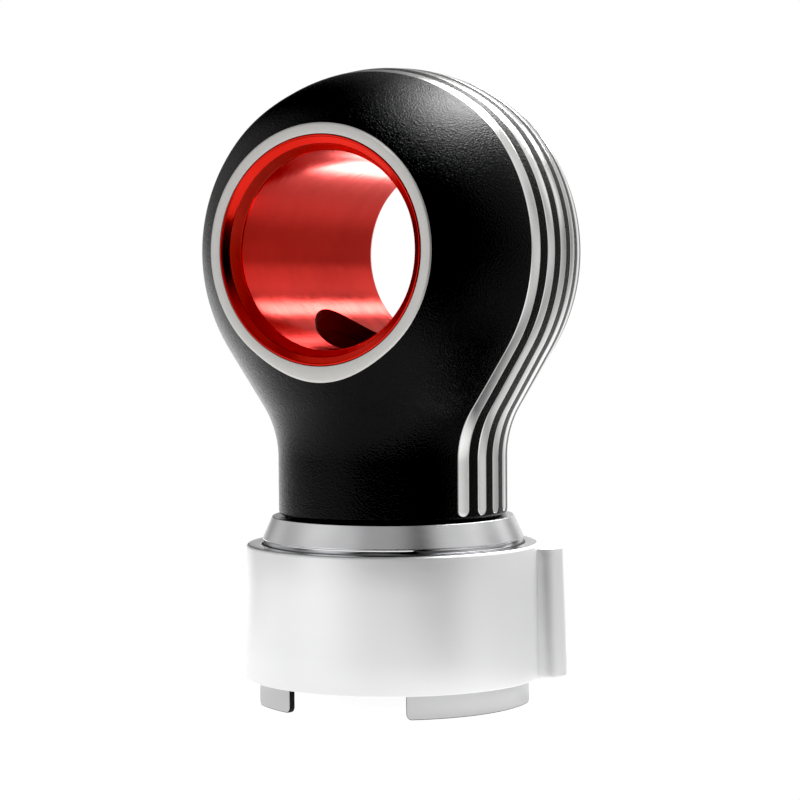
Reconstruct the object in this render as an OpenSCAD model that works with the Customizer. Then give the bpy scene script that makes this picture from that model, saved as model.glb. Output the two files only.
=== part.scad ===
// Gear shift knob: a ball on a neck with a through hole, and a lift collar below.
// Millimetres. +Z is up, the hole runs along Y, its front face looks to -Y.
// The origin is on the knob's axis, in the plane of the feet.

/* [Head] */
// Radius of the ball at its equator
ball_r = 25.1; // [24.6:0.1:26]
// Height of the ball's centre above the feet
ball_z = 59.2; // [58.8:0.1:60.4]
// Distance from the axis to each flat face
flat_y = 19.34; // [19:0.05:19.6]
// Angle at which the ball turns into its shoulder arc
shoulder_a = 30; // [26:1:34]
// Radius of the shoulder arc
shoulder_r = 20; // [19:0.5:21]
// Height of the crown above the ball's centre
crown_h = 24.15; // [24:0.05:24.4]
// Angle below the equator at which the ball turns into the throat's cone
throat_a = 31.5; // [30:0.5:34]
// Radius of the hollow between the throat and the neck
throat_r = 13; // [11:0.5:14]

/* [Neck] */
// Radius of the neck
neck_r = 15.15; // [14.9:0.05:15.4]
// Height of the neck's lower end above the feet
neck_z = 24.9; // [24.8:0.05:25.1]
// Height of the bevel at the neck's lower end
neck_bevel = 0.7; // [0.4:0.1:0.9]

/* [Through hole] */
// Radius of the main bore
bore_r = 12.63; // [12.3:0.05:12.8]
// Outer radius of the red liner
liner_r = 14.55; // [14.4:0.05:14.7]
// Outer radius of the face rings
ring_r = 15.92; // [15.7:0.02:15.94]
// Thickness of the face rings
ring_t = 1.8; // [1.2:0.1:2.4]
// Radius of the round hole in the liner's floor, and of the well below it
well_r = 10.2; // [9.5:0.1:10.6]

/* [Bands] */
// Number of bands
band_n = 5; // [5]
// Distance from one band to the next
band_pitch = 3.22; // [3:0.02:3.3]
// Width of a band
band_w = 1.74; // [1.5:0.02:1.9]
// Depth of a band below the grip's surface
band_d = 1.0; // [0.8:0.1:1.3]
// How far a band stands proud of the grip
band_proud = 0.1; // [0.05:0.01:0.15]

/* [Collar] */
// Height of the conical collar's top
cone_z = 24.4; // [24.3:0.05:24.5]
// Radius at the top of the cone
cone_top_r = 16.05; // [15.9:0.05:16.2]
// Radius at the foot of the cone
cone_foot_r = 17.35; // [17.2:0.05:17.4]

/* [Lift collar] */
// Outer radius at the shroud's foot
shroud_r = 19.87; // [19.7:0.01:19.9]
// Outer radius at the shroud's shoulder
shroud_top_r = 19.52; // [19.4:0.01:19.6]
// Height of the shroud's top
shroud_z = 20.75; // [20.6:0.05:20.8]
// Height of the shroud's lower edge
shroud_foot_z = 3.2; // [3:0.1:3.4]
// Outer radius of the clip sleeve
sleeve_r = 18.5; // [18.4:0.05:18.5]
// Wall of the clip sleeve
sleeve_t = 0.95; // [0.8:0.05:1]
// Direction of the rib, in degrees from +X towards +Y
rib_az = 23; // [20:0.5:30]
// Width of the rib
rib_w = 7.8; // [7:0.1:8.6]
// Reach of the rib from the axis, at mid height
rib_reach = 22.82; // [22.4:0.02:23.2]
// Upward travel of the lift collar
travel = 8; // [5:0.5:8]

/* [Lever seat] */
// Radius of the bush that takes the lever
lever_r = 6.05; // [5.5:0.05:6.2]
// Radius of the stem that the lift collar runs on
stem_r = 9; // [8.9:0.05:9.1]

/* [Hidden] */
$fn = 128;
gap = 0.02;                       // seat clearance between pieces that stay put
core_r = 12.2;                    // barrel of the core inside the neck
stem_z = 1.5;                     // lower end of the stem
flange_z = 21.0;                  // underside of the core's flange
flange_top = 23.2;
flange_r = 15.4;
floor_z = 38;                     // floor of the well
seat_top = 32;                    // where the lever's end stops
bush_top = 24;
bush_r = 7.2;
guide_z = 5.0;                    // underside of the lift guide at rest
guide_t = 1.6;
seat_z = 20.2;                    // underside of the bumper
hub_r = 11.0;
sleeve_in = sleeve_r - sleeve_t;
sleeve_top = 12;
clip_r = 13.45;                   // circle of the flange screws, clear of the bands
gs_r = 15.4;                      // circle of the guide screws
key_w = 2.0;
cone_rim_r = 17.25;               // upright rim below the cone, inside the shroud's opening
shroud_in = 17.55;                // opening of the shroud's top plate
edge_r = 0.2;                     // rounded upper edge of the shroud
rib_foot_z = 3.05;
rib_top_z = 20.25;

// Tabs of the clip sleeve: first and last angle of each, from +X towards +Y
TABS = [[-56.7, 12], [-134, -108.3], [45, 113.7], [165.3, 191]];

function pol(a, r) = [r*cos(a), r*sin(a)];
function v2(c, a, r) = [c[0] + r*cos(a), c[1] + r*sin(a)];

// Shoulder and crown arcs, each tangent to the one before
c2 = pol(shoulder_a, ball_r - shoulder_r);
crown_k = (crown_h - c2[1] - shoulder_r)/c2[0];
crown_a = 90 - 2*atan(crown_k);
crown_r = shoulder_r + c2[0]/cos(crown_a);
c3 = [0, crown_h - crown_r];
// Throat: a cone tangent to the ball, then a hollow tangent to cone and neck
t1 = pol(-throat_a, ball_r);
throat_z = t1[1] - throat_r*sin(throat_a)
         + (neck_r + throat_r*(1 - cos(throat_a)) - t1[0])/tan(throat_a);
c4 = [neck_r + throat_r, throat_z];
neck_b = neck_z - ball_z;         // neck's lower end, from the ball's centre

function arc(c, r, a1, a2, st) = let (n = ceil(abs(a2 - a1)/st))
    [for (i = [0:n]) v2(c, a1 + (a2 - a1)*i/n, r)];
// Outline of the grip in the r-z half plane, drawn in by t, in steps of st degrees
module grip_outline(t, st) {
    polygon(concat([[0, neck_b], [neck_r - t - 0.55, neck_b], [neck_r - t, neck_b + neck_bevel]],
        arc(c4, throat_r + t, 180, 180 - throat_a, st),
        arc([0, 0], ball_r - t, -throat_a, shoulder_a - 1, st),
        arc(c2, shoulder_r - t, shoulder_a, crown_a - 1, st),
        arc(c3, crown_r - t, crown_a, 90, st)));
}
module grip_solid(t = 0, st = 4.5) {
    translate([0, 0, ball_z]) rotate_extrude() grip_outline(t, st);
}
// Turned about the hole's axis; local +Z looks to the front
module about_hole() {
    translate([0, 0, ball_z]) rotate([90, 0, 0]) children();
}
module tube(r1, r2, z1, z2) {
    translate([0, 0, z1]) difference() {
        cylinder(r = r2, h = z2 - z1);
        translate([0, 0, -1]) cylinder(r = r1, h = z2 - z1 + 2);
    }
}
module rod(r, z1, z2) {
    translate([0, 0, z1]) cylinder(r = r, h = z2 - z1);
}
module round3(n, r, a0) {
    for (i = [0:n-1]) rotate([0, 0, a0 + 360*i/n]) translate([r, 0, 0]) children();
}

// Path of band i: a slab with rounded lower ends
module band_path(i, c = 0) {
    y = (i - (band_n + 1)/2)*band_pitch;
    ze = neck_z + 0.2 + band_w/2;
    translate([-40, y - band_w/2 - c, ze]) cube([80, band_w + 2*c, 80]);
    translate([-40, y, ze]) rotate([0, 90, 0]) cylinder(r = band_w/2 + c, h = 80, $fn = 48);
}
module band(i) {
    difference() {
        intersection() { grip_solid(-band_proud); band_path(i); }
        grip_solid(band_d, 9);
    }
}
module band_groove(i) {
    difference() {
        band_path(i, gap);
        grip_solid(band_d + gap, 9);
    }
}

module grip_shell() {
    color([0.03, 0.03, 0.03]) difference() {
        grip_solid();
        for (s = [-1, 1]) translate([-40, s > 0 ? flat_y : -flat_y - 20, ball_z - 40]) cube([80, 20, 80]);
        about_hole() for (s = [-1, 1]) translate([0, 0, s*(flat_y + 5 - ring_t - gap) - 5])
            cylinder(r = ring_r + gap, h = 10);
        about_hole() translate([0, 0, -30]) cylinder(r = liner_r + gap, h = 60);
        rod(core_r + 0.05, neck_z - 1, ball_z);
        for (i = [1:band_n]) band_groove(i);
        round3(4, clip_r, 45) rod(0.82, neck_z - 1, 31.2);
    }
}
module face_ring(s) {
    color([0.75, 0.74, 0.72]) about_hole() mirror([0, 0, s > 0 ? 0 : 1]) rotate_extrude()
        polygon([[liner_r + gap, flat_y - ring_t], [ring_r, flat_y - ring_t],
                 [ring_r, flat_y - 0.12], [ring_r - 0.12, flat_y],
                 [liner_r + gap, flat_y]]);
}
module bore_liner() {
    e = flat_y - 0.03;
    color([0.78, 0.1, 0.08]) difference() {
        about_hole() rotate_extrude() polygon([
            [liner_r, -e], [liner_r, e], [liner_r - 0.12, e], [liner_r - 0.35, e - 0.12],
            [13.42, e - 0.6], [12.75, e - 2.1], [bore_r, e - 2.2],
            [bore_r, 2.2 - e], [12.75, 2.1 - e], [13.42, 0.6 - e],
            [liner_r - 0.35, 0.12 - e], [liner_r - 0.12, -e]]);
        rod(well_r, floor_z, ball_z);
    }
}
module core() {
    color([0.35, 0.34, 0.34]) difference() {
        union() {
            rod(core_r, flange_z, 52);
            rod(flange_r, flange_z, flange_top);
            rod(stem_r, stem_z, flange_z + 1);
        }
        about_hole() translate([0, 0, -30]) cylinder(r = liner_r + 0.05, h = 60);
        rod(well_r, floor_z, 60);
        rod(3.3, 20, 60);
        rod(5.5, 20, seat_top);
        rod(bush_r, stem_z - 1, bush_top);
        tube(8.4, stem_r + 1, 3.4, 4.4);
        translate([-key_w/2, 8, 5.2]) cube([key_w, 3, seat_z - 5.3]);
        round3(4, clip_r, 45) {
            rod(0.9, 20, 25);
            translate([0, 0, flange_z - 0.01]) cylinder(r1 = 1.7, r2 = 0.9, h = 0.85);
        }
    }
}
module lever_bush() {
    color([0.2, 0.2, 0.2]) tube(lever_r, bush_r - gap, stem_z, bush_top - gap);
}
module lever_screw() {
    color([0.3, 0.3, 0.32]) difference() {
        union() {
            rod(5, floor_z + 1.2, floor_z + 7.2);
            rod(3, floor_z - 12.8, floor_z + 2);
        }
        translate([0, 0, floor_z + 4.2]) cylinder(r = 2.9, h = 4, $fn = 6);
    }
}
module screw_washer() {
    color([0.6, 0.6, 0.62]) tube(3.2, 6, floor_z, floor_z + 1.2);
}
module neck_gasket() {
    color([0.02, 0.02, 0.02]) difference() {
        tube(core_r + 0.1, 14.4, cone_z, neck_z);
        round3(4, clip_r, 45) rod(0.82, 20, 30);
    }
}
module collar_cone() {
    color([0.8, 0.8, 0.8]) difference() {
        rotate_extrude() polygon([
            [core_r + 0.1, flange_top], [flange_r + 0.05, flange_top],
            [flange_r + 0.05, seat_z], [cone_rim_r, seat_z], [cone_rim_r, 21.32],
            [cone_foot_r, 21.38], [cone_foot_r, 21.55],
            [cone_top_r, cone_z - 0.22], [cone_top_r - 0.22, cone_z],
            [core_r + 0.1, cone_z]]);
        round3(4, clip_r, 45) rod(0.85, 20, 30);
    }
}
module flange_screws() {
    color([0.55, 0.55, 0.57]) round3(4, clip_r, 45) difference() {
        union() {
            translate([0, 0, flange_z + 0.05]) cylinder(r1 = 1.55, r2 = 0.8, h = 0.76);
            rod(0.8, flange_z + 0.3, 31);
        }
        translate([0, 0, flange_z - 0.5]) cylinder(r = 0.6, h = 1.1, $fn = 6);
    }
}
module spring_seat() {
    color([0.08, 0.08, 0.08]) tube(9.3, 14.6, seat_z, flange_z - gap);
}
// Return spring: round wire swept along a helix
sp_r = 12.6; sp_w = 0.5; sp_turns = 4.5; sp_seg = 24; sp_side = 10;
sp_z1 = guide_z + guide_t + sp_w + 0.03; sp_z2 = seat_z - sp_w - 0.03;
function sp_pt(k, j) = let (
        n = sp_turns*sp_seg, a = 360*sp_turns*k/n, z = sp_z1 + (sp_z2 - sp_z1)*k/n,
        b = 360*j/sp_side, r = sp_r + sp_w*cos(b))
    [r*cos(a), r*sin(a), z + sp_w*sin(b)];
module return_spring() {
    n = sp_turns*sp_seg;
    pts = [for (k = [0:n], j = [0:sp_side-1]) sp_pt(k, j)];
    sides = [for (k = [0:n-1], j = [0:sp_side-1]) let (j2 = (j + 1) % sp_side)
        [k*sp_side + j, (k + 1)*sp_side + j, (k + 1)*sp_side + j2, k*sp_side + j2]];
    ends = [[for (j = [0:sp_side-1]) j], [for (j = [sp_side-1:-1:0]) n*sp_side + j]];
    color([0.6, 0.6, 0.62]) polyhedron(points = pts, faces = concat(sides, ends), convexity = 10);
}
module guide_key() {
    color([0.6, 0.6, 0.62]) translate([-key_w/2 + gap, 8.02, 5.25])
        cube([key_w - 2*gap, 1.85, seat_z - 5.45]);
}
module stop_washer() {
    color([0.7, 0.7, 0.72]) tube(stem_r + 0.06, 11.5, 4.42, guide_z - 0.01);
}
module retaining_ring() {
    color([0.5, 0.5, 0.52]) difference() {
        tube(8.45, 10.6, 3.42, 4.38);
        rotate([0, 0, -25]) translate([0, 0, 2]) linear_extrude(4) polygon([[0, 0], [20, 0], pol(50, 26)]);
    }
}
module lift_guide() {
    color([0.85, 0.85, 0.82]) difference() {
        union() {
            rod(sleeve_in - 0.05, guide_z, guide_z + guide_t);
            rod(hub_r, guide_z, seat_z - travel - 0.05);
        }
        rod(stem_r + 0.05, 0, 30);
        translate([-key_w/2 - 0.1, 5, 0]) cube([key_w + 0.2, 5, 30]);
        round3(3, gs_r, 0) rod(0.92, guide_z - 1, guide_z + guide_t - 0.3);
    }
}
module tab_wedge(a1, a2) {
    linear_extrude(shroud_foot_z + 0.6)
        polygon([[0, 0], pol(a1, 30), pol(a1 + (a2 - a1)/3, 30), pol(a1 + 2*(a2 - a1)/3, 30), pol(a2, 30)]);
}
module clip_sleeve() {
    color([0.82, 0.82, 0.83]) difference() {
        union() {
            tube(sleeve_in, sleeve_r, shroud_foot_z + 0.4, sleeve_top);
            intersection() {
                tube(sleeve_in, sleeve_r, 0, shroud_foot_z + 0.6);
                union() for (t = TABS) tab_wedge(t[0], t[1]);
            }
            tube(13.5, sleeve_in + 0.3, shroud_foot_z + 0.4, guide_z);
        }
        round3(3, gs_r, 0) rod(1.0, 0, 8);
    }
}
module guide_screws() {
    color([0.55, 0.55, 0.57]) round3(3, gs_r, 0) difference() {
        union() {
            rod(1.75, shroud_foot_z - 0.7, shroud_foot_z + 0.38);
            rod(0.9, shroud_foot_z, guide_z + guide_t - 0.4);
        }
        rod(0.7, 0, shroud_foot_z - 0.1);
    }
}
function shroud_at(z) = shroud_r - (shroud_r - shroud_top_r)
    *(z - shroud_foot_z - 0.15)/(shroud_z - edge_r - shroud_foot_z - 0.15);
module shroud_outline() {
    polygon(concat([[shroud_r - 0.15, shroud_foot_z], [shroud_r, shroud_foot_z + 0.15]],
        arc([shroud_top_r - edge_r, shroud_z - edge_r], edge_r, 0, 90, 30),
        [[shroud_in + 0.1, shroud_z], [shroud_in, shroud_z - 0.1], [shroud_in, shroud_z - 1.15],
         [sleeve_r + 0.05, shroud_z - 1.15], [sleeve_r + 0.05, shroud_foot_z]]));
}
module shroud() {
    color([0.85, 0.85, 0.86]) difference() {
        rotate_extrude() shroud_outline();
        rotate([0, 0, rib_az]) for (z = [6.5, 16]) translate([17, 0, z]) rotate([0, 90, 0])
            cylinder(r = 0.95, h = 6, $fn = 32);
    }
}
module rib_plan() {
    c = 3.2;
    translate([16, -rib_w/2]) square([rib_reach - c - 16, rib_w]);
    translate([16, -rib_w/2 + c]) square([rib_reach - 16, rib_w - 2*c]);
    for (s = [-1, 1]) translate([rib_reach - c, s*(rib_w/2 - c)]) circle(r = c);
}
module side_rib() {
    color([0.85, 0.85, 0.86]) {
        rotate([0, 0, rib_az]) difference() {
            intersection() {
                translate([0, 0, 11.5]) rotate([0, -2, 0]) translate([0, 0, -14]) linear_extrude(28) rib_plan();
                translate([0, -20, rib_foot_z]) cube([40, 40, rib_top_z - rib_foot_z]);
            }
            translate([0, 0, 2]) cylinder(r1 = shroud_at(2) + gap, r2 = shroud_at(22) + gap, h = 20);
        }
        rotate([0, 0, rib_az]) for (z = [6.5, 16]) translate([18.65, 0, z]) rotate([0, 90, 0])
            cylinder(r = 0.92, h = 2, $fn = 32);
    }
}
grip_shell();
color([0.85, 0.85, 0.84]) band(1);  // band_1
color([0.85, 0.85, 0.84]) band(2);  // band_2
color([0.85, 0.85, 0.84]) band(3);  // band_3
color([0.85, 0.85, 0.84]) band(4);  // band_4
color([0.85, 0.85, 0.84]) band(5);  // band_5
face_ring(1);  // front_ring
face_ring(-1);  // rear_ring
bore_liner();
core();
lever_bush();
lever_screw();
screw_washer();
neck_gasket();
collar_cone();
flange_screws();
spring_seat();
return_spring();
guide_key();
stop_washer();
retaining_ring();
lift_guide();
clip_sleeve();
guide_screws();
shroud();
side_rib();
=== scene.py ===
import math
import bpy
import bmesh
import numpy as np
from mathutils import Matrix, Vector


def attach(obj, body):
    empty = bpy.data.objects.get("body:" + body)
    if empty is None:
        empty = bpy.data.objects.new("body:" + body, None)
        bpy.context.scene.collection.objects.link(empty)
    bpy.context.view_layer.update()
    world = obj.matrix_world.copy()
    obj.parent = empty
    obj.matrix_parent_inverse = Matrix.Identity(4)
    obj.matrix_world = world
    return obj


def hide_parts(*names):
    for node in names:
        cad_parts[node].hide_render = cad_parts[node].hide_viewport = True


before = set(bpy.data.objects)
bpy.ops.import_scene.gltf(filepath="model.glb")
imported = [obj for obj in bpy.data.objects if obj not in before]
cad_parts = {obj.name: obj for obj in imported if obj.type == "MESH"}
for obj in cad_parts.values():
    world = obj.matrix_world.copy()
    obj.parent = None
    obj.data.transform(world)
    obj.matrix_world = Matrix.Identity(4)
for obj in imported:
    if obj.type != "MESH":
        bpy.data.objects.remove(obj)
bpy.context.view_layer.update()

MM = 0.001
ZB = 59.2            # height of the ball's centre above the feet, mm
rad = math.radians
scene = bpy.context.scene


# ---------------------------------------------------------------- profile
# Outline of the grip in the r-z half plane, z from the ball's centre, mm
R_BALL, A_SH, R_SH = 25.0, 35.0, 20.0
C_SH = ((R_BALL - R_SH) * math.cos(rad(A_SH)), (R_BALL - R_SH) * math.sin(rad(A_SH)))
C_CR, R_CR = (0.0, -2.8), 27.0
A_CR = math.degrees(math.atan2(C_SH[1] - C_CR[1], C_SH[0]))
A_TH, R_TH = 30.7, 13.5
R_NECK = 15.19
C_TH = (R_NECK + R_TH, -27.1)
NECK_B = -34.6       # lower end of the neck
BEV = 0.55


def arc(c, r, a1, a2, st):
    n = max(2, int(math.ceil(abs(a2 - a1) / st)))
    out = []
    for i in range(n + 1):
        a = rad(a1 + (a2 - a1) * i / n)
        out.append((c[0] + r * math.cos(a), c[1] + r * math.sin(a), math.cos(a), math.sin(a)))
    return out


def grip_profile(st=1.0):
    """(r, z, nr, nz) from the neck's lower edge up to the crown."""
    p = []
    p += arc((R_NECK - BEV, NECK_B + BEV), BEV, -90, 0, 15)
    for z in np.linspace(NECK_B + BEV + 0.3, C_TH[1] - 0.3, 14):
        p.append((R_NECK, float(z), 1.0, 0.0))
    for q in arc(C_TH, R_TH, 180, 180 - A_TH, st * 1.6):
        p.append((q[0], q[1], -q[2], -q[3]))
    x1, z1 = p[-1][0], p[-1][1]
    x2, z2 = R_BALL * math.cos(rad(-A_TH)), R_BALL * math.sin(rad(-A_TH))
    for t in np.linspace(0, 1, 14)[1:-1]:
        p.append((x1 + (x2 - x1) * t, z1 + (z2 - z1) * t, math.cos(rad(A_TH)), -math.sin(rad(A_TH))))
    p += arc((0, 0), R_BALL, -A_TH, A_SH, st)
    p += arc(C_SH, R_SH, A_SH, A_CR, st)[1:]
    p += arc(C_CR, R_CR, A_CR, 90, st)[1:]
    return p


PROF = grip_profile(0.6)
PZ = np.array([q[1] for q in PROF])
PR = np.array([q[0] for q in PROF])
PN = np.array([(q[2], q[3]) for q in PROF])
_ord = np.argsort(PZ, kind="stable")
PZ, PR, PN = PZ[_ord], PR[_ord], PN[_ord]


def r_at(z):
    return np.interp(z, PZ, PR)


def n_at(z):
    nr, nz = np.interp(z, PZ, PN[:, 0]), np.interp(z, PZ, PN[:, 1])
    k = np.hypot(nr, nz)
    return nr / k, nz / k


# ---------------------------------------------------------------- mesh help
def new_object(name, verts, faces, smooth=True):
    me = bpy.data.meshes.new(name)
    me.from_pydata([(v[0] * MM, v[1] * MM, v[2] * MM) for v in verts], [], faces)
    me.validate()
    o = bpy.data.objects.new(name, me)
    scene.collection.objects.link(o)
    bm = bmesh.new()
    bm.from_mesh(me)
    bmesh.ops.remove_doubles(bm, verts=bm.verts, dist=1e-7)
    bmesh.ops.recalc_face_normals(bm, faces=bm.faces)
    for f in bm.faces:
        f.smooth = smooth
    bm.to_mesh(me)
    bm.free()
    return o


def sharp_by_angle(o, deg=30.0):
    me = o.data
    bm = bmesh.new()
    bm.from_mesh(me)
    for e in bm.edges:
        e.smooth = len(e.link_faces) == 2 and e.calc_face_angle(0.0) < rad(deg)
    bm.to_mesh(me)
    bm.free()


def revolve(name, prof, n=192, axis="z", closed=True, cz=0.0):
    """Turns a closed r-z outline about Z, or about the through hole's axis."""
    verts, faces = [], []
    m = len(prof)
    for i in range(n):
        a = 2 * math.pi * i / n
        c, s = math.cos(a), math.sin(a)
        for r, z in prof:
            if axis == "z":
                verts.append((r * c, r * s, z + cz))
            else:
                verts.append((r * c, z, r * s + cz))
    for i in range(n):
        j = (i + 1) % n
        for k in range(m if closed else m - 1):
            k2 = (k + 1) % m
            faces.append((i * m + k, j * m + k, j * m + k2, i * m + k2))
    return new_object(name, verts, faces)


def rounded(pts, n=5):
    """Closed outline from (x, y, corner radius) points, with true arcs at the corners."""
    out = []
    m = len(pts)
    for i in range(m):
        p = np.array(pts[i][:2], float)
        rr = pts[i][2] if len(pts[i]) > 2 else 0
        if rr <= 0:
            out.append((p[0], p[1]))
            continue
        a = np.array(pts[i - 1][:2], float) - p
        b = np.array(pts[(i + 1) % m][:2], float) - p
        la, lb = np.linalg.norm(a), np.linalg.norm(b)
        a, b = a / la, b / lb
        ang = math.acos(max(-1, min(1, float(a @ b))))
        d = min(rr / math.tan(ang / 2), la * 0.49, lb * 0.49)
        rr = d * math.tan(ang / 2)
        c = p + (a + b) / np.linalg.norm(a + b) * (rr / math.sin(ang / 2))
        s, e = p + a * d - c, p + b * d - c
        a1, a2 = math.atan2(s[1], s[0]), math.atan2(e[1], e[0])
        dd = (a2 - a1 + math.pi) % (2 * math.pi) - math.pi
        for k in range(n + 1):
            t = a1 + dd * k / n
            out.append((c[0] + rr * math.cos(t), c[1] + rr * math.sin(t)))
    return out


def boolean(o, other, op="DIFFERENCE"):
    m = o.modifiers.new("cut", "BOOLEAN")
    m.object = other
    m.operation = op
    m.solver = "EXACT"
    dg = bpy.context.evaluated_depsgraph_get()
    me = bpy.data.meshes.new_from_object(o.evaluated_get(dg))
    o.modifiers.clear()
    old = o.data
    o.data = me
    bpy.data.meshes.remove(old)
    bpy.data.objects.remove(other, do_unlink=True)
    return o


def custom_normals(o, fn):
    """fn(face centre mm, face normal, corner mm) gives a normal, or None for the flat one."""
    me = o.data
    for p in me.polygons:
        p.use_smooth = True
    out = [(0.0, 0.0, 0.0)] * len(me.loops)
    for p in me.polygons:
        c = p.center / MM
        fnrm = p.normal.copy()
        for li in p.loop_indices:
            v = me.vertices[me.loops[li].vertex_index].co / MM
            r = fn(c, fnrm, v)
            out[li] = tuple(r) if r is not None else tuple(fnrm)
    me.normals_split_custom_set(out)


def cyl(r, z1, z2, n=160, axis="z", cz=0.0):
    return revolve("tool", [(0.0, z1), (r, z1), (r, z2), (0.0, z2)], n, axis, True, cz)


# ---------------------------------------------------------------- nodes
class Mat:
    """A small helper for procedural materials."""

    def __init__(self, name):
        self.m = bpy.data.materials.new(name)
        self.m.use_nodes = True
        self.t = self.m.node_tree
        self.n = self.t.nodes
        self.b = self.n["Principled BSDF"]

    def node(self, kind, **kw):
        x = self.n.new(kind)
        for k, v in kw.items():
            if k.startswith("_"):
                x.inputs[k[1:].replace("_", " ")].default_value = v
            else:
                setattr(x, k, v)
        return x

    def link(self, a, b):
        self.t.links.new(a, b)

    def coords(self):
        return self.node("ShaderNodeTexCoord").outputs["Object"]

    def scaled(self, vec, s):
        x = self.node("ShaderNodeMapping")
        x.inputs["Scale"].default_value = s
        self.link(vec, x.inputs["Vector"])
        return x.outputs["Vector"]

    def noise(self, vec, scale, detail=4.0, rough=0.5, dist=0.0):
        x = self.node("ShaderNodeTexNoise")
        x.inputs["Scale"].default_value = scale
        x.inputs["Detail"].default_value = detail
        x.inputs["Roughness"].default_value = rough
        x.inputs["Distortion"].default_value = dist
        self.link(vec, x.inputs["Vector"])
        return x.outputs["Fac"]

    def ramp(self, fac, a, b, lo, hi):
        x = self.node("ShaderNodeMapRange")
        x.inputs["From Min"].default_value = a
        x.inputs["From Max"].default_value = b
        x.inputs["To Min"].default_value = lo
        x.inputs["To Max"].default_value = hi
        self.link(fac, x.inputs["Value"])
        return x.outputs["Result"]

    def mix(self, fac, c1, c2):
        x = self.node("ShaderNodeMix", data_type="RGBA")
        x.inputs["A"].default_value = (*c1, 1)
        x.inputs["B"].default_value = (*c2, 1)
        self.link(fac, x.inputs["Factor"])
        return x.outputs["Result"]

    def bump(self, height, strength, dist, normal=None):
        x = self.node("ShaderNodeBump")
        x.inputs["Strength"].default_value = strength
        x.inputs["Distance"].default_value = dist
        self.link(height, x.inputs["Height"])
        if normal is not None:
            self.link(normal, x.inputs["Normal"])
        return x.outputs["Normal"]

    def set(self, **kw):
        for k, v in kw.items():
            self.b.inputs[k.replace("_", " ")].default_value = v
        return self


def metal(name, c1, c2, r1, r2, lines=(1.0, 1.0, 1.0), scale=900.0, bump=0.05, aniso=0.0, axis=None,
          cloud=45.0, metallic=1.0):
    m = Mat(name)
    v = m.coords()
    fine = m.noise(m.scaled(v, lines), scale, 3.0, 0.6)
    big = m.noise(v, cloud, 3.0, 0.5)
    m.link(m.mix(m.ramp(big, 0.35, 0.65, 0, 1), c1, c2), m.b.inputs["Base Color"])
    rr = m.node("ShaderNodeMath", operation="ADD")
    m.link(m.ramp(fine, 0.3, 0.7, r1, r2), rr.inputs[0])
    m.link(m.ramp(big, 0.3, 0.7, -0.015, 0.015), rr.inputs[1])
    m.link(rr.outputs[0], m.b.inputs["Roughness"])
    m.link(m.bump(fine, bump, 0.00002), m.b.inputs["Normal"])
    m.set(Metallic=metallic)
    if aniso:
        m.set(Anisotropic=aniso)
        if axis:
            t = m.node("ShaderNodeTangent", direction_type="RADIAL", axis=axis)
            m.link(t.outputs[0], m.b.inputs["Tangent"])
    return m.m


def uneven(mat, scale, strength, distance=0.0001):
    """Adds a slow unevenness under a material's own grain, as a polishing wheel leaves it."""
    t = mat.node_tree
    old = [n for n in t.nodes if n.type == "BUMP"][0]
    tc = t.nodes.new("ShaderNodeTexCoord")
    nz = t.nodes.new("ShaderNodeTexNoise")
    nz.inputs["Scale"].default_value = scale
    nz.inputs["Detail"].default_value = 3.0
    nz.inputs["Distortion"].default_value = 0.6
    b = t.nodes.new("ShaderNodeBump")
    b.inputs["Strength"].default_value = strength
    b.inputs["Distance"].default_value = distance
    t.links.new(tc.outputs["Object"], nz.inputs["Vector"])
    t.links.new(nz.outputs["Fac"], b.inputs["Height"])
    t.links.new(b.outputs["Normal"], old.inputs["Normal"])


def grip_material():
    m = Mat("grip_pebble")
    v = m.coords()
    # fine pebble grain: cells about 0.24 mm across, broken up by finer noise
    cell = m.node("ShaderNodeTexVoronoi", feature="SMOOTH_F1")
    cell.inputs["Scale"].default_value = 4400.0
    cell.inputs["Smoothness"].default_value = 0.6
    m.link(v, cell.inputs["Vector"])
    fine = m.noise(v, 7600.0, 3.0, 0.6)
    add = m.node("ShaderNodeMath", operation="MULTIPLY_ADD")
    m.link(fine, add.inputs[0])
    add.inputs[1].default_value = 0.5
    m.link(cell.outputs["Distance"], add.inputs[2])
    m.link(m.bump(add.outputs[0], 1.0, 0.00005), m.b.inputs["Normal"])
    big = m.noise(v, 60.0, 3.0, 0.5)
    m.link(m.mix(m.ramp(big, 0.35, 0.65, 0, 1), (0.0008, 0.0008, 0.0009), (0.0014, 0.0014, 0.0015)),
           m.b.inputs["Base Color"])
    m.link(m.ramp(fine, 0.3, 0.7, 0.22, 0.30), m.b.inputs["Roughness"])
    m.set(Metallic=0.0)
    m.set(**{"Specular IOR Level": 0.12})
    return m.m


def plastic(name, c1, c2, r1, r2, scale=1500.0, bump=0.15, spec=0.5):
    m = Mat(name)
    v = m.coords()
    fine = m.noise(v, scale, 4.0, 0.6)
    big = m.noise(v, 80.0, 3.0, 0.5)
    m.link(m.mix(m.ramp(big, 0.35, 0.65, 0, 1), c1, c2), m.b.inputs["Base Color"])
    m.link(m.ramp(fine, 0.3, 0.7, r1, r2), m.b.inputs["Roughness"])
    m.link(m.bump(fine, bump, 0.00004), m.b.inputs["Normal"])
    m.set(**{"Specular IOR Level": spec})
    return m.m


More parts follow.
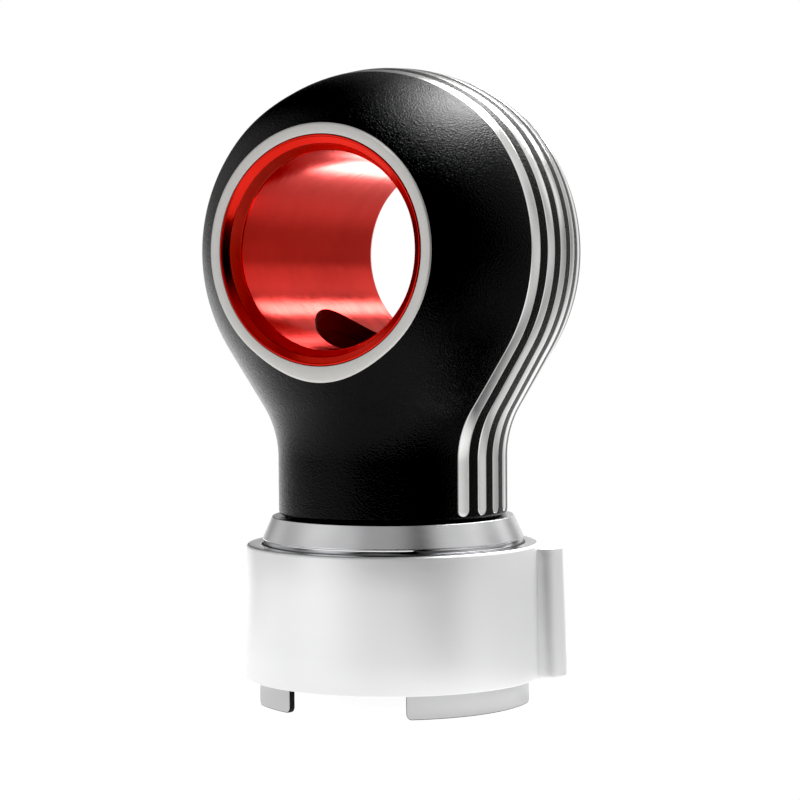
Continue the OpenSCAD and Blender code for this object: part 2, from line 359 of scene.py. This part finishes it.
M_GRIP = grip_material()
M_BAND = metal("band_polished", (0.83, 0.83, 0.82), (0.88, 0.88, 0.87), 0.16, 0.26,
               lines=(1, 6, 1), scale=1200, bump=0.06, cloud=60)
M_RING = metal("ring_satin", (0.62, 0.61, 0.59), (0.65, 0.64, 0.62), 0.44, 0.54,
               lines=(1, 1, 1), scale=2600, bump=0.12, cloud=40)
M_LINER = metal("liner_anodised", (0.56, 0.018, 0.012), (0.68, 0.026, 0.018), 0.13, 0.21,
                lines=(0.12, 6.0, 0.12), scale=420, bump=0.18, aniso=0.4, axis="Y", cloud=70)
M_LINER.node_tree.nodes["Principled BSDF"].inputs["Coat Weight"].default_value = 0.0
M_LINER.node_tree.nodes["Principled BSDF"].inputs["Specular Tint"].default_value = (1.0, 0.80, 0.78, 1.0)
uneven(M_LINER, 230.0, 0.35)
# Lighter copy of the liner's anodised red on the mouth bevels: a painted highlight for their bright band
M_BEVEL_LIT_RED = metal("liner_bevel_lit_red", (0.86, 0.07, 0.05), (0.92, 0.09, 0.065), 0.36, 0.44,
                lines=(1, 6, 1), scale=700, bump=0.08, cloud=60)
# Red anodised core, kept near black so that the well under the bore looks dark: partly its own red, partly painted
# shade of the well
M_CORE_RED_WELL_SHADE = metal("core_anodised_well_shade", (0.13, 0.0012, 0.0009), (0.17, 0.0016, 0.0012), 0.6, 0.72,
               lines=(1, 1, 4), scale=700, bump=0.1, cloud=60)
M_CONE = metal("cone_chrome", (0.74, 0.74, 0.75), (0.79, 0.79, 0.80), 0.22, 0.28,
               lines=(0.15, 0.15, 7), scale=500, bump=0.05, aniso=0.3, axis="Z", cloud=40)
M_SHROUD = metal("shroud_satin", (0.94, 0.94, 0.945), (0.965, 0.965, 0.97), 0.36, 0.46,
                 lines=(0.2, 0.2, 5), scale=900, bump=0.10, cloud=35)
M_SHROUD.node_tree.nodes["Principled BSDF"].inputs["Metallic"].default_value = 0.58      # silver lacquer
M_POLISH = metal("polished_edge", (0.62, 0.62, 0.63), (0.68, 0.68, 0.69), 0.05, 0.09, scale=900, bump=0.04, cloud=40)
M_SLEEVE = metal("sleeve_satin", (0.52, 0.52, 0.525), (0.56, 0.56, 0.565), 0.34, 0.42,
                 lines=(1, 1, 1.6), scale=2600, bump=0.05, cloud=45)
# Near-black finish for the lower edges and end faces of the sleeve's tabs
M_TAB_EDGE_DARK = metal("sleeve_tab_edge_dark", (0.018, 0.018, 0.019), (0.03, 0.03, 0.031), 0.45, 0.6, scale=2200, bump=0.1)
M_BLACKSTEEL = metal("screw_black", (0.05, 0.05, 0.055), (0.09, 0.09, 0.095), 0.34, 0.5, scale=1800, bump=0.1)
M_PLATED = metal("plated_steel", (0.58, 0.58, 0.57), (0.66, 0.66, 0.65), 0.25, 0.4, scale=1600, bump=0.1)
M_SPRING = metal("spring_wire", (0.5, 0.5, 0.51), (0.6, 0.6, 0.61), 0.2, 0.34, scale=1500, bump=0.08)
M_DARK = plastic("dark_plastic", (0.012, 0.012, 0.013), (0.02, 0.02, 0.021), 0.4, 0.55)
# Near-black rubber for the neck gasket: partly its own black, partly painted shade of the gap under the neck
M_RUBBER_GAP_SHADE = plastic("gasket_rubber_gap_shade", (0.008, 0.008, 0.008), (0.013, 0.013, 0.013), 0.6, 0.75, spec=0.3)
M_WHITE = plastic("guide_plastic", (0.68, 0.67, 0.63), (0.74, 0.73, 0.70), 0.4, 0.55)


def paint(o, m):
    o.data.materials.clear()
    o.data.materials.append(m)


for node, m in (("core", M_CORE_RED_WELL_SHADE), ("lever_bush", M_DARK), ("lever_screw", M_BLACKSTEEL),
                ("screw_washer", M_PLATED), ("neck_gasket", M_RUBBER_GAP_SHADE), ("flange_screws", M_BLACKSTEEL),
                ("spring_seat", M_DARK), ("return_spring", M_SPRING), ("guide_key", M_PLATED),
                ("stop_washer", M_PLATED), ("retaining_ring", M_BLACKSTEEL), ("lift_guide", M_WHITE),
                ("guide_screws", M_PLATED)):
    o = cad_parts[node]
    for i in range(max(1, len(o.data.materials))):
        if i < len(o.data.materials):
            o.data.materials[i] = m
        else:
            o.data.materials.append(m)


FLAT = 19.34
R_LINER = 14.56


# ---------------------------------------------------------------- face rings
def outline_rho(theta, flat):
    c, s = math.cos(theta), math.sin(theta)
    lo, hi = 10.0, 24.0
    for _ in range(44):
        mid = (lo + hi) / 2
        x, z = mid * c, mid * s
        if math.hypot(x, flat) < r_at(z) and z > -30:
            lo = mid
        else:
            hi = mid
    return lo


def ring_mesh(name, side, profile, n=256):
    """Closed ring round the hole's axis; profile(outline, outline lower down) gives (r, y) points."""
    verts, faces = [], []
    for i in range(n):
        th = 2 * math.pi * i / n
        prof = profile(outline_rho(th, FLAT), outline_rho(th, FLAT - 0.15))
        for r, y in prof:
            verts.append((r * math.cos(th), side * y, r * math.sin(th) + ZB))
    m = len(prof)
    for i in range(n):
        j = (i + 1) % n
        for k in range(m):
            k2 = (k + 1) % m
            faces.append((i * m + k, j * m + k, j * m + k2, i * m + k2))
    return new_object(name, verts, faces)


def ring_pocket(side):
    return ring_mesh("tool", side, lambda ro, rl: [(R_LINER - 3, FLAT - 1.77), (ro - 0.33, FLAT - 1.77),
                                                   (ro - 0.33, FLAT + 1), (R_LINER - 3, FLAT + 1)])


def build_ring(side, name):
    inner = R_LINER + 0.02
    o = ring_mesh(name + "_visual", side, lambda ro, rl: [
        (inner, FLAT - 1.75), (ro - 0.35, FLAT - 1.75), (ro - 0.35, FLAT - 0.149), (rl - 0.004, FLAT - 0.149),
        (ro - 0.002, FLAT - 0.03), (ro - 0.02, FLAT - 0.006), (ro - 0.07, FLAT),
        (inner + 0.1, FLAT), (inner + 0.03, FLAT - 0.02), (inner, FLAT - 0.08)])
    sharp_by_angle(o, 40)
    paint(o, M_RING)
    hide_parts(name)
    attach(o, "knob")


build_ring(-1, "front_ring")
build_ring(1, "rear_ring")


# ---------------------------------------------------------------- grip shell
def build_grip():
    prof = [(q[0], q[1]) for q in grip_profile(1.0)]
    n = 288
    verts, faces = [], []
    m = len(prof) - 1                       # the last point is the crown's pole
    for i in range(n):
        a = 2 * math.pi * i / n
        for r, z in prof[:m]:
            verts.append((r * math.cos(a), r * math.sin(a), z + ZB))
    top = len(verts)
    verts.append((0, 0, prof[-1][1] + ZB))
    bot = len(verts)
    verts.append((0, 0, NECK_B + ZB))
    for i in range(n):
        j = (i + 1) % n
        for k in range(m - 1):
            faces.append((i * m + k, j * m + k, j * m + k + 1, i * m + k + 1))
        faces.append((i * m + m - 1, j * m + m - 1, top))
        faces.append((j * m, i * m, bot))
    o = new_object("grip_shell_visual", verts, faces)
    bm = bmesh.new()
    bm.from_mesh(o.data)
    for s in (-1, 1):
        g = bmesh.ops.bisect_plane(bm, geom=bm.verts[:] + bm.edges[:] + bm.faces[:], dist=1e-7,
                                   plane_co=(0, s * (FLAT - 0.15) * MM, 0), plane_no=(0, s, 0), clear_outer=True)
        edges = [e for e in g["geom_cut"] if isinstance(e, bmesh.types.BMEdge)]
        bmesh.ops.contextual_create(bm, geom=edges)
    bmesh.ops.recalc_face_normals(bm, faces=bm.faces)
    bm.to_mesh(o.data)
    bm.free()
    boolean(o, cyl(R_LINER, -30, 30, 192, "y", ZB))
    boolean(o, cyl(12.25, 10, ZB - 5, 128))
    for s in (-1, 1):
        boolean(o, ring_pocket(s))

    def fn(c, nrm, v):
        z = v[2] - ZB
        if abs(nrm[1]) > 0.97 and math.hypot(c[0], c[2] - ZB) < 17 and abs(c[1]) > 17:
            return None
        rho = math.hypot(c[0], c[2] - ZB)
        if abs(c[1]) > FLAT - 1.8 and abs(nrm[1]) < 0.2 and rho < 16.6 and (nrm[0] * c[0] + nrm[2] * (c[2] - ZB)) < 0:
            return None
        if rho < R_LINER + 0.05 and abs(c[1]) < FLAT and rho > R_LINER - 0.3 and c[2] > ZB - 15:
            k = math.hypot(v[0], z) or 1
            return (-v[0] / k, 0, -z / k)
        rr = math.hypot(c[0], c[1])
        if rr < 12.6 and c[2] < ZB - 12:
            if abs(nrm[2]) > 0.7:
                return None
            k = math.hypot(v[0], v[1]) or 1
            return (-v[0] / k, -v[1] / k, 0)
        if abs(nrm[2]) > 0.99 and z < NECK_B + 0.05:
            return None
        r = math.hypot(v[0], v[1])
        nr, nz = n_at(z)
        if r < 1e-3:
            return (0, 0, 1)
        return (nr * v[0] / r, nr * v[1] / r, nz)
    custom_normals(o, fn)
    paint(o, M_GRIP)
    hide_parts("grip_shell")
    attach(o, "knob")
    return o


build_grip()


# ---------------------------------------------------------------- bands
BAND_W, BAND_PITCH, PROUD = 1.74, 3.22, 0.045
TIP_Z = -34.1


def section(y, n):
    """Points (x, z) of the grip's section at y, from the right tip over the top to the left tip."""
    zz = np.concatenate([np.linspace(TIP_Z, -12, 220), np.linspace(-12, 26, 1200)[1:]])
    zz = zz[zz <= PZ[-1]]
    rr = r_at(zz)
    ok = rr > abs(y)
    zz, rr = zz[ok], rr[ok]
    x = np.sqrt(np.maximum(rr * rr - y * y, 0))
    # height where the section closes over the top
    lo, hi = zz[-1], PZ[-1]
    for _ in range(40):
        mid = (lo + hi) / 2
        if r_at(mid) > abs(y):
            lo = mid
        else:
            hi = mid
    x = np.append(x, 0.0)
    zz = np.append(zz, lo)
    x = np.concatenate([x, -x[-2::-1]])
    zz = np.concatenate([zz, zz[-2::-1]])
    s = np.concatenate([[0], np.cumsum(np.hypot(np.diff(x), np.diff(zz)))])
    return x, zz, s


def build_band(i):
    yc = (i - 3) * BAND_PITCH
    n, m = 420, 12
    xs, zs, ss = section(yc, n)
    total = ss[-1]
    # finer steps near the rounded tips
    t = np.linspace(0, 1, n)
    tip = np.linspace(0, 1, 14)[:-1] ** 1.6 * (BAND_W * 0.8 / total)
    ts = np.unique(np.concatenate([tip, t[t > tip[-1] + 0.001], 1 - tip]))
    ts = ts[(ts >= 0) & (ts <= 1)]
    secs = []
    for k in range(m + 1):
        v = -1 + 2 * k / m
        v = math.copysign(abs(v) ** 0.75, v)
        secs.append((v, None))
    verts, faces, norms = [], [], []
    hw = BAND_W / 2
    cols = len(secs)
    for tt in ts:
        d = min(tt, 1 - tt) * total
        w = hw if d >= hw else math.sqrt(max(hw * hw - (hw - d) ** 2, 1e-6))
        sx, sz = np.interp(tt * total, ss, xs), np.interp(tt * total, ss, zs)
        phi_z = sz
        for v, _ in secs:
            y = yc + v * w
            # slide from the centre section to this one at the same height, or the same x near the top
            if abs(sx) > 9.0 or phi_z < 0:
                r = r_at(phi_z)
                x = math.copysign(math.sqrt(max(r * r - y * y, 0)), sx)
                z = phi_z
            else:
                x = sx
                rr = math.hypot(x, y)
                lo, hi = 5.0, float(PZ[-1])
                for _ in range(30):
                    mid = (lo + hi) / 2
                    if r_at(mid) > rr:
                        lo = mid
                    else:
                        hi = mid
                z = lo
            r = math.hypot(x, y)
            nr, nz = n_at(z)
            nn = np.array((nr * x / r if r > 1e-4 else 0, nr * y / r if r > 1e-4 else 0, nz))
            edge = abs(v)
            # slightly crowned face with a small rounded edge
            h = PROUD * (1 - 0.35 * v * v) if edge < 0.93 else PROUD * 0.62 * (1 - (edge - 0.93) / 0.07 * 1.5)
            h *= min(1.0, w / hw + 0.1)
            p = np.array((x, y, z)) + nn * h
            verts.append((p[0], p[1], p[2] + ZB))
    top_n = len(verts)
    # underside, 0.5 mm below the surface, so that the strip is a closed solid
    for tt in range(len(ts)):
        for k in (0, cols - 1):
            p = np.array(verts[tt * cols + k])
            r = math.hypot(p[0], p[1])
            nr, nz = n_at(p[2] - ZB)
            q = p - 0.5 * np.array((nr * p[0] / max(r, 1e-4), nr * p[1] / max(r, 1e-4), nz))
            verts.append(tuple(q))
    for a in range(len(ts) - 1):
        for k in range(cols - 1):
            faces.append((a * cols + k, (a + 1) * cols + k, (a + 1) * cols + k + 1, a * cols + k + 1))
        u0, u1 = top_n + a * 2, top_n + (a + 1) * 2
        faces.append((a * cols, u0, u1, (a + 1) * cols))
        faces.append((a * cols + cols - 1, (a + 1) * cols + cols - 1, u1 + 1, u0 + 1))
        faces.append((u0, u0 + 1, u1 + 1, u1))
    last = (len(ts) - 1)
    faces.append(tuple(range(cols)) + (top_n + 1, top_n))
    faces.append(tuple(last * cols + k for k in range(cols - 1, -1, -1)) + (top_n + last * 2, top_n + last * 2 + 1))
    o = new_object("band_%d_visual" % i, verts, faces)
    sharp_by_angle(o, 50)
    paint(o, M_BAND)
    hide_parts("band_%d" % i)
    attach(o, "knob")


for i in range(1, 6):
    build_band(i)


def second_material(name, m, where):
    """Gives the faces picked by radius and height (mm) a finish of their own."""
    me = bpy.data.objects[name].data
    me.materials.append(m)
    for p in me.polygons:
        c = p.center / MM
        if where(math.hypot(c.x, c.y), c.z):
            p.material_index = len(me.materials) - 1


# ---------------------------------------------------------------- liner
def build_liner():
    e = FLAT + 0.03
    half = [(14.50, e - 0.10), (14.48, e - 0.03), (14.42, e), (14.34, e), (14.27, e - 0.03), (14.22, e - 0.10),
            (13.48, e - 0.60), (13.42, e - 0.66), (13.38, e - 0.74),
            (12.72, e - 2.14), (12.67, e - 2.22), (12.64, e - 2.32), (12.63, e - 2.45)]
    body = [(12.63, y) for y in np.linspace(e - 3.0, -(e - 3.0), 40)]
    prof = half + body + [(r, -y) for r, y in reversed(half)] + \
        [(14.54, y) for y in np.linspace(-(e - 0.2), e - 0.2, 24)]
    n = 240
    o = revolve("bore_liner_visual", prof, n, "y", True, ZB)
    boolean(o, cyl(10.2, ZB - 22, ZB, 160))
    half_r = np.array([p[0] for p in half])
    half_y = np.array([p[1] for p in half])

    def fn(c, nrm, v):
        z = v[2] - ZB
        rho_c = math.hypot(c[0], c[2] - ZB)
        if math.hypot(c[0], c[1]) < 10.35 and c[2] < ZB and math.hypot(c[0], c[1]) > 10.0 and \
                abs(nrm[0] * c[0] + nrm[1] * c[1]) / math.hypot(c[0], c[1]) > 0.9 and rho_c > 12.64 and rho_c < 14.53:
            k = math.hypot(v[0], v[1]) or 1
            return (-v[0] / k, -v[1] / k, 0)
        k = math.hypot(v[0], z) or 1
        if rho_c > 14.53:
            return (v[0] / k, 0, z / k)
        if abs(c[1]) < e - 2.45:
            return (-v[0] / k, 0, -z / k)
        # on the steps: the face's own slope, turned to this corner
        kc = math.hypot(c[0], c[2] - ZB) or 1
        nr = (nrm[0] * c[0] + nrm[2] * (c[2] - ZB)) / kc
        return Vector((nr * v[0] / k, nrm[1], nr * z / k)).normalized()
    custom_normals(o, fn)
    paint(o, M_LINER)
    o.data.materials.append(M_BEVEL_LIT_RED)       # the inner bevels of both mouths, in a lighter red that paints their bright band
    o.data.materials.append(M_CORE_RED_WELL_SHADE)        # the cut edge of the hole in the floor, in the near-black core red as painted shade of the well
    for p in o.data.polygons:
        c = p.center / MM
        rho = math.hypot(c.x, c.z - ZB)
        if 12.66 < rho < 13.43 and abs(c.y) > e - 2.3:
            p.material_index = 1
        elif 12.66 < rho < 14.5 and c.z < ZB and abs(math.hypot(c.x, c.y) - 10.2) < 0.06:
            p.material_index = 2
    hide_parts("bore_liner")
    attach(o, "knob")


build_liner()


# ---------------------------------------------------------------- cone collar
def turned(name, node, pts, mat, body, n=224, ang=35):
    o = revolve(name, rounded(pts), n, "z", True, 0.0)
    sharp_by_angle(o, ang)
    paint(o, mat)
    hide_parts(node)
    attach(o, body)
    return o


turned("collar_cone_visual", "collar_cone", [
    (12.3, 23.2), (15.45, 23.2), (15.45, 20.2), (17.25, 20.2, 0.05), (17.25, 21.34, 0.02), (17.35, 21.38, 0.05),
    (17.34, 21.52, 0.08), (16.06, 24.38, 0.16), (14.95, 24.34, 0.05), (14.9, 24.3, 0.02), (12.3, 24.3)],
    M_CONE, "knob")
second_material("collar_cone_visual", M_POLISH, lambda r, z: r > 17.0 and z < 21.42)

# ---------------------------------------------------------------- lift collar
turned("shroud_visual", "shroud", [
    (18.55, 3.2), (19.865, 3.2, 0.12), (19.77, 7.5), (19.6, 16.0), (19.515, 20.75, 0.42),
    (17.56, 20.74, 0.08), (17.55, 19.6, 0.05), (18.55, 19.6)],
    M_SHROUD, "lift_collar")
second_material("shroud_visual", M_POLISH, lambda r, z: r < 19.1 and z > 20.6)


def build_sleeve():
    """Thin inner sleeve with its screw flange, and the tabs with rounded lower corners."""
    ro, ri = 18.46, 17.6
    o = revolve("clip_sleeve_visual", rounded([
        (13.5, 3.6, 0.1), (ro, 3.6), (ro, 12.0, 0.1), (ri, 12.0, 0.1), (ri, 5.0), (13.5, 5.0, 0.1)], 3), 192, "z", True, 0.0)
    for i in range(3):
        a = rad(120 * i)
        h = cyl(1.0, 0, 8, 40)
        for v in h.data.vertices:
            v.co.x += 15.4 * MM * math.cos(a)
            v.co.y += 15.4 * MM * math.sin(a)
        boolean(o, h)
    tabs = [(-56.7, 12.0), (-134.0, -108.3), (45.0, 113.7), (165.3, 191.0)]
    paint(o, M_SLEEVE)
    # the tabs' lower edges and end faces are near black
    o.data.materials.append(M_TAB_EDGE_DARK)
    bm = bmesh.new()
    bm.from_mesh(o.data)
    cr = 0.65
    for a1, a2 in tabs:
        # columns round the tab, finer in the rounded corners
        s = cr / ro * 180 / math.pi
        cols = [a1 + s * (1 - math.cos(rad(q))) for q in range(0, 91, 15)]
        mid = np.linspace(a1 + s, a2 - s, max(4, int((a2 - a1) / 1.5)))[1:-1]
        cols = cols + list(mid) + [a2 - s * (1 - math.cos(rad(q))) for q in range(90, -1, -15)]
        grid = []
        for a in cols:
            d = min(a - a1, a2 - a) / s
            low = 0.0 if d >= 1 else cr * (1 - math.sqrt(max(0, 1 - (1 - d) ** 2)))
            ca, sa = math.cos(rad(a)), math.sin(rad(a))
            b = 0.09
            ring = [(ri, 3.7), (ri, low + b), (ri + b * 0.3, low + b * 0.3), (ri + b, low),
                    (ro - b, low), (ro - b * 0.3, low + b * 0.3), (ro, low + b), (ro, 3.7)]
            grid.append([bm.verts.new((r * ca * MM, r * sa * MM, z * MM)) for r, z in ring])
        m = len(grid[0])
        for g, h in zip(grid[:-1], grid[1:]):
            for k in range(m):
                bm.faces.new((g[k], h[k], h[(k + 1) % m], g[(k + 1) % m])).material_index = 1 <= k <= 5
        bm.faces.new(grid[0][::-1]).material_index = 1
        bm.faces.new(grid[-1]).material_index = 1
    bmesh.ops.recalc_face_normals(bm, faces=bm.faces)
    for f in bm.faces:
        f.smooth = True
    for e in bm.edges:
        e.smooth = len(e.link_faces) == 2 and e.calc_face_angle(0.0) < rad(40)
    bm.to_mesh(o.data)
    bm.free()
    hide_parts("clip_sleeve")
    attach(o, "lift_collar")


build_sleeve()


def build_rib():
    """Upright rib on the shroud: leans outwards a little to its foot, flat crescent top."""
    az = rad(23.0)
    levels = []
    z0, z1 = 3.05, 20.25
    for z in list(z0 + np.array([0, 0.03, 0.1, 0.22, 0.38, 0.6])) + list(np.linspace(z0 + 1.4, z1 - 0.8, 14)) + \
            list(z1 - np.array([0.32, 0.2, 0.11, 0.05, 0.015, 0.0])):
        levels.append(float(z))
    verts, faces = [], []
    m = None
    for z in levels:
        t = (z - z0) / (z1 - z0)
        reach = 23.12 - 0.6 * t
        w = 4.25 - 0.75 * t
        # rounded lower and upper edges
        cut, side = 0.0, 0.0
        if z < z0 + 0.6:
            q = 1 - (z - z0) / 0.6
            cut = 0.5 * (1 - math.sqrt(max(0, 1 - q * q)))
            side = cut * 0.3
        if z > z1 - 0.32:
            q = 1 - (z1 - z) / 0.32
            cut = 0.32 * (1 - math.sqrt(max(0, 1 - q * q)))
            side = cut
        rch = reach - cut
        hw = w - side
        back = 19.865 - 0.35 * (z - 3.2) / 17.5 - 0.1
        c = 3.3 - 0.3 * t - cut
        xin = math.sqrt(back * back - hw * hw)
        pts = [(xin, -hw)]
        cx = rch - c
        for k in range(0, 11):
            a = rad(-90 + 9 * k)
            pts.append((cx + c * math.cos(a), -(hw - c) + c * math.sin(a)))
        for k in range(0, 11):
            a = rad(9 * k)
            pts.append((cx + c * math.cos(a), (hw - c) + c * math.sin(a)))
        pts.append((xin, hw))
        for k in range(1, 12):
            y = hw - 2 * hw * k / 12
            pts.append((math.sqrt(back * back - y * y), y))
        m = len(pts)
        for x, y in pts:
            verts.append((x * math.cos(az) - y * math.sin(az), x * math.sin(az) + y * math.cos(az), z))
    for a in range(len(levels) - 1):
        for k in range(m):
            k2 = (k + 1) % m
            faces.append((a * m + k, a * m + k2, (a + 1) * m + k2, (a + 1) * m + k))
    faces.append(tuple(range(m))[::-1])
    faces.append(tuple((len(levels) - 1) * m + k for k in range(m)))
    o = new_object("side_rib_visual", verts, faces)
    sharp_by_angle(o, 40)
    paint(o, M_SHROUD)
    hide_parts("side_rib")
    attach(o, "lift_collar")


build_rib()


# ---------------------------------------------------------------- studio
def stage_material(name, c, r):
    m = Mat(name)
    v = m.coords()
    f = m.noise(v, 25.0, 3.0)
    m.link(m.mix(f, tuple(x * 0.985 for x in c), c), m.b.inputs["Base Color"])
    m.link(m.ramp(f, 0.3, 0.7, r, r + 0.08), m.b.inputs["Roughness"])
    return m.m


me = bpy.data.meshes.new("floor")
TH = rad(28.48)
RT = Vector((math.cos(TH), math.sin(TH), 0))          # to the right in the picture
TO = Vector((math.sin(TH), -math.cos(TH), 0))         # towards the camera
table = [(-0.40, 0.20), (0.030, 0.20), (0.030, -0.06), (-0.40, -0.06)]      # right, near
me.from_pydata([tuple(RT * a + TO * b + Vector((0, 0, -0.00002))) for a, b in table], [], [(0, 1, 2, 3)])
floor = bpy.data.objects.new("floor", me)
scene.collection.objects.link(floor)
floor_m = stage_material("floor_white", (0.16, 0.16, 0.16), 0.9)
floor_m.node_tree.nodes["Principled BSDF"].inputs["Emission Color"].default_value = (1, 1, 1, 1)
floor_m.node_tree.nodes["Principled BSDF"].inputs["Emission Strength"].default_value = 0.97
paint(floor, floor_m)

UPV = Vector((0, 0, 1))


class Studio:
    """Soft light by direction: the white room behind, soft boxes and a dark front."""

    def __init__(self):
        self.w = bpy.data.worlds.new("studio")
        self.w.use_nodes = True
        self.t = self.w.node_tree
        self.n = self.t.nodes
        self.dir = self.n.new("ShaderNodeTexCoord").outputs["Generated"]
        self.total = None

    def math(self, op, a, b=None):
        x = self.n.new("ShaderNodeMath")
        x.operation = op
        for i, v in enumerate((a, b)):
            if v is None:
                continue
            if isinstance(v, (int, float)):
                x.inputs[i].default_value = v
            else:
                self.t.links.new(v, x.inputs[i])
        return x.outputs[0]

    def along(self, axis):
        x = self.n.new("ShaderNodeVectorMath")
        x.operation = "DOT_PRODUCT"
        self.t.links.new(self.dir, x.inputs[0])
        x.inputs[1].default_value = axis.normalized()
        return x.outputs["Value"]

    def step(self, v, a, b, lo=0.0, hi=1.0):
        x = self.n.new("ShaderNodeMapRange")
        x.interpolation_type = "SMOOTHSTEP"
        for k, q in (("From Min", a), ("From Max", b), ("To Min", lo), ("To Max", hi)):
            x.inputs[k].default_value = q
        self.t.links.new(v, x.inputs["Value"])
        return x.outputs["Result"]

    def add(self, v):
        self.total = v if self.total is None else self.math("ADD", self.total, v)

    def blob(self, d, inner, outer, strength):
        """A round soft box seen in direction d (right, up, near); angles in degrees."""
        v = self.along(RT * d[0] + UPV * d[1] + TO * d[2])
        self.add(self.step(v, math.cos(rad(outer)), math.cos(rad(inner)), 0.0, strength))

    def done(self):
        lp = self.n.new("ShaderNodeLightPath").outputs["Is Camera Ray"]
        m = self.n.new("ShaderNodeMix")
        m.data_type = "FLOAT"
        self.t.links.new(lp, m.inputs["Factor"])
        self.t.links.new(self.total, m.inputs["A"])
        m.inputs["B"].default_value = 1.0
        bg = self.n["Background"]
        bg.inputs["Color"].default_value = (1, 1, 1, 1)
        self.t.links.new(m.outputs["Result"], bg.inputs["Strength"])
        scene.world = self.w


# Soft boxes: direction (right, up, near), inner and outer radius in degrees, strength
ROOM = [
    ((-0.79, 0.53, 0.32), 4, 33, 0.66), ((-0.81, -0.12, 0.57), 4, 33, 0.93), ((-0.99, 0.12, 0.04), 4, 33, 0.10),
    ((-0.80, 0.38, -0.46), 4, 33, 0.44), ((-0.62, 0.78, -0.11), 4, 33, 0.30), ((-0.92, -0.27, -0.29), 4, 33, 0.26),
    ((-0.64, -0.02, -0.77), 4, 33, 0.30), ((-0.31, -0.43, -0.85), 4, 33, 2.10), ((0.22, -0.18, -0.96), 4, 33, 0.90),
    ((0.44, -0.57, -0.69), 4, 33, 0.50), ((0.86, -0.32, -0.40), 4, 33, 0.37), ((0.37, 0.47, -0.80), 4, 33, 0.30),
    ((0.58, 0.72, -0.37), 4, 33, 0.38), ((0.71, 0.07, -0.70), 4, 33, 0.13), ((0.92, 0.32, -0.20), 4, 33, 0.32),
    ((0.99, -0.07, 0.13), 4, 33, 0.36), ((0.77, 0.57, 0.28), 4, 33, 0.66), ((0.78, -0.48, 0.41), 4, 33, 0.90),
    ((0.75, 0.18, 0.63), 4, 33, 0.15), ((-0.19, 0.68, 0.71), 4, 33, 0.40), ((0.34, 0.82, 0.45), 4, 33, 0.06),
]
LAMPS = [
    ((0.36, 0.86, -0.36), 3, 12, 14.0),       # overhead: the highlight on the ball
    ((0.36, 0.92, -0.14), 3, 14, 30.0),
    ((0.34, 0.72, -0.60), 4, 14, 16.0),
    ((0.78, 0.28, -0.55), 3, 12, 0.60),
    ((0.56, 0.48, -0.68), 1.5, 6, 11.0),      # behind, high: the bright band low in the bore
    ((0.20, -0.41, -0.89), 2, 9, 9.5),       # behind, low: the bright band high in the bore
]

st = Studio()
for d, inner, outer, power in ROOM + LAMPS:
    st.blob(d, inner, outer, power)
st.done()
scene.view_settings.view_transform = "Standard"
scene.view_settings.look = "None"
scene.view_settings.use_curve_mapping = True          # the photo's deep blacks
scene.view_settings.curve_mapping.black_level = (0.006, 0.006, 0.006)
scene.view_settings.curve_mapping.update()

# ---------------------------------------------------------------- camera
cam_d = bpy.data.cameras.new("camera")
cam = bpy.data.objects.new("camera", cam_d)
scene.collection.objects.link(cam)
scene.camera = cam
D, ZC, YAW, PITCH, ROLL, F = 314.9, -6.415, rad(0.184), rad(-2.394), rad(-0.38), 2371.2
fw = -TO
rt = RT.copy()
fw2 = fw * math.cos(YAW) + rt * math.sin(YAW)
rt2 = rt * math.cos(YAW) - fw * math.sin(YAW)
fw3 = fw2 * math.cos(PITCH) + UPV * math.sin(PITCH)
up3 = UPV * math.cos(PITCH) - fw2 * math.sin(PITCH)
rt4 = rt2 * math.cos(ROLL) + up3 * math.sin(ROLL)
up4 = up3 * math.cos(ROLL) - rt2 * math.sin(ROLL)
cam.location = TO * (D * MM) + Vector((0, 0, (ZC + ZB) * MM))
from mathutils import Matrix
rot = Matrix((rt4, up4, -fw3)).transposed()
cam.rotation_mode = "QUATERNION"
cam.rotation_quaternion = rot.to_quaternion()
cam_d.sensor_width = 36.0
cam_d.lens = F * 36.0 / 800.0
cam_d.clip_start, cam_d.clip_end = 0.01, 50
